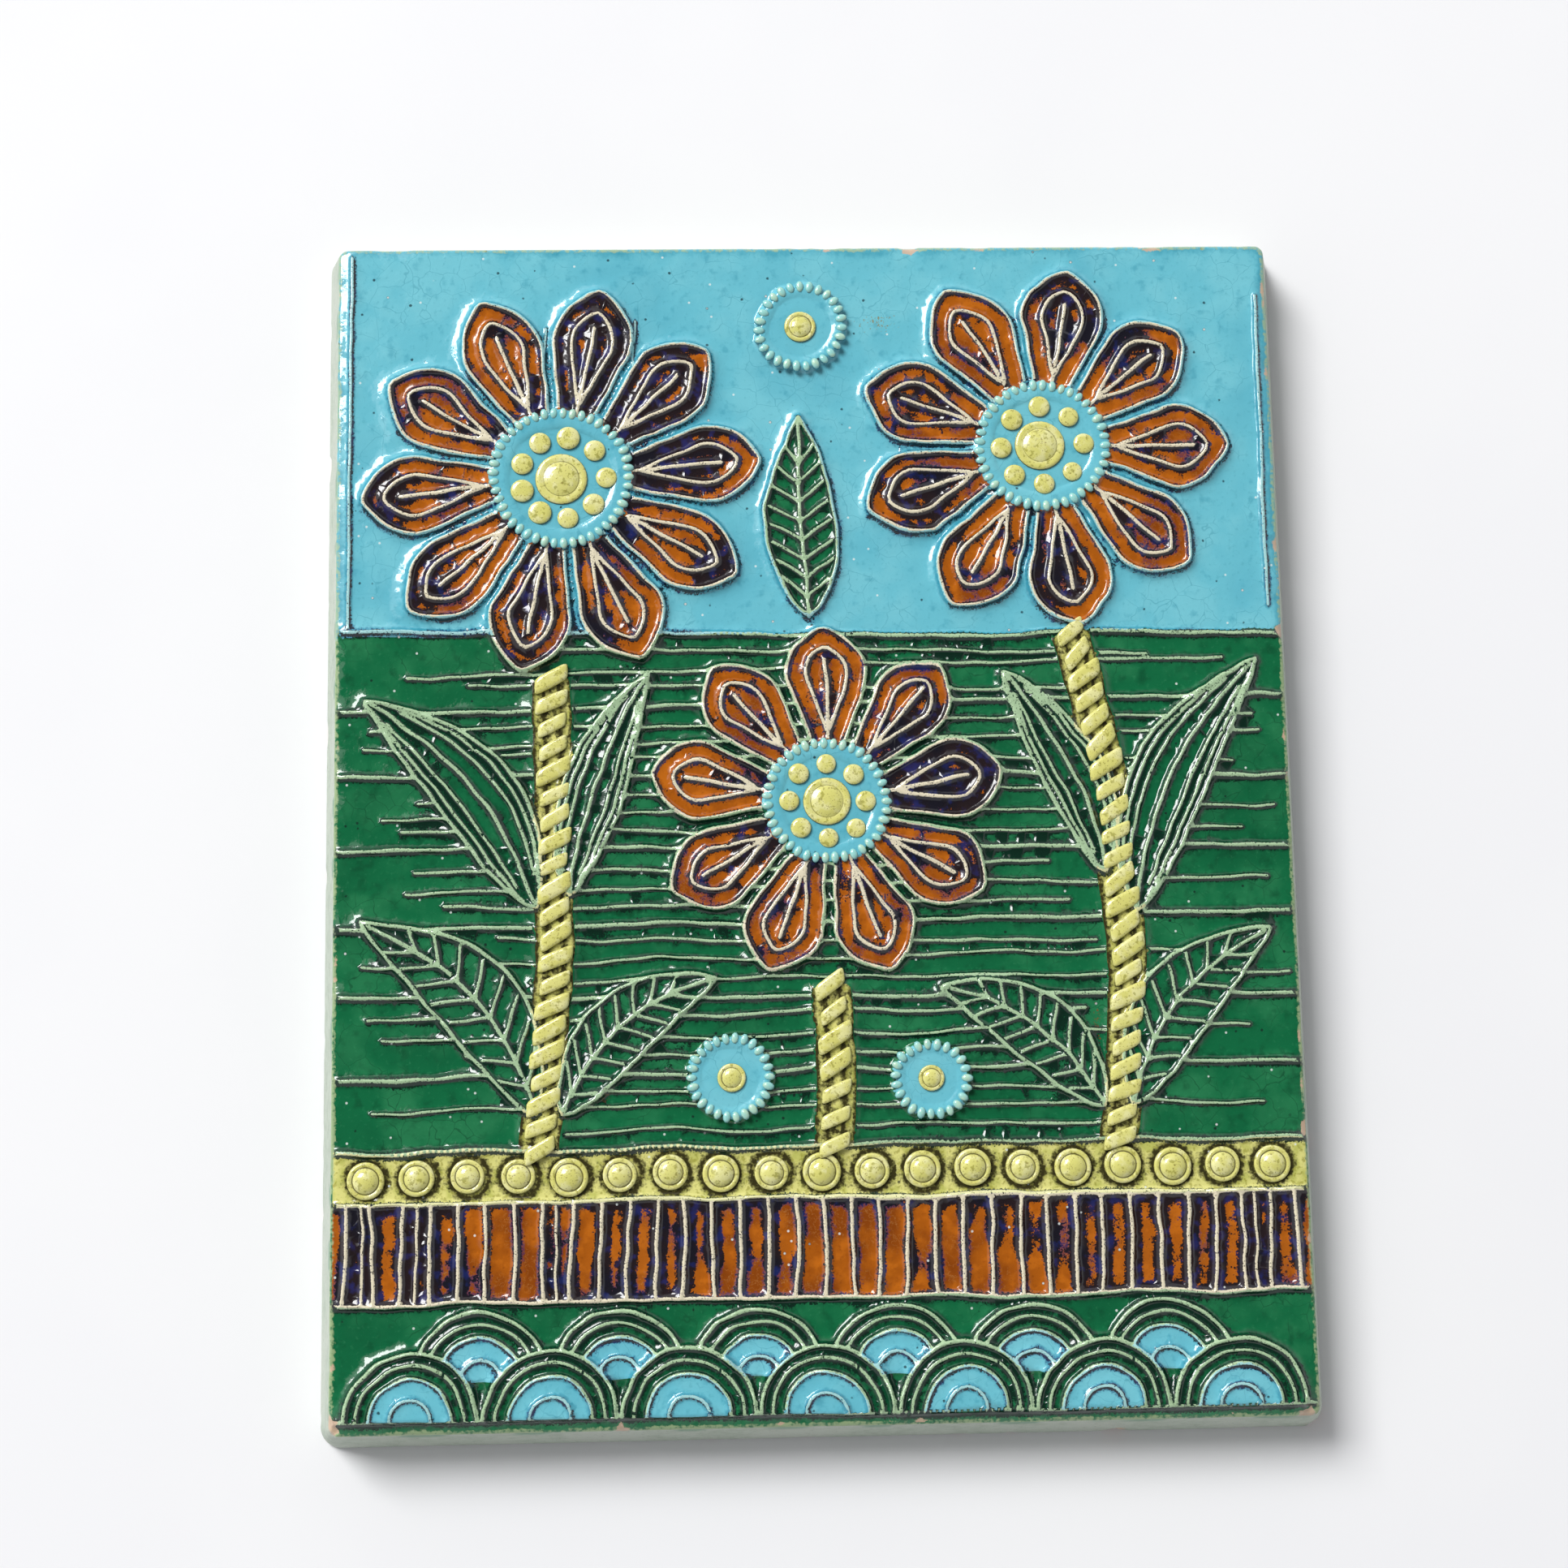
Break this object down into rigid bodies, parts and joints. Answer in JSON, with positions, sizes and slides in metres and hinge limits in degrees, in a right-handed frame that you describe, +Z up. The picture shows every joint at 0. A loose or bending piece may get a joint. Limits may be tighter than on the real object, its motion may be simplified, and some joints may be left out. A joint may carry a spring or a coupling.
{
  "type": "decorative wall plaque",
  "caption": "Upright glazed ceramic wall plaque with leaning sides, a moulded flower relief above three bands, and hanging slots in its flat back.",
  "frame": {"origin": "centre of the flat back, where the plaque lies on the wall", "axes": "+Z up along the plaque's height, +X across it to the right as seen from the front, +Y out of the back into the wall; the relief faces -Y"},
  "size_m": [0.33, 0.0252, 0.407],
  "materials": {
    "glazed_ceramic": "gloss"
  },
  "bodies": {
    "root": {"plaque": "glazed_ceramic"}
  },
  "joints": []
}
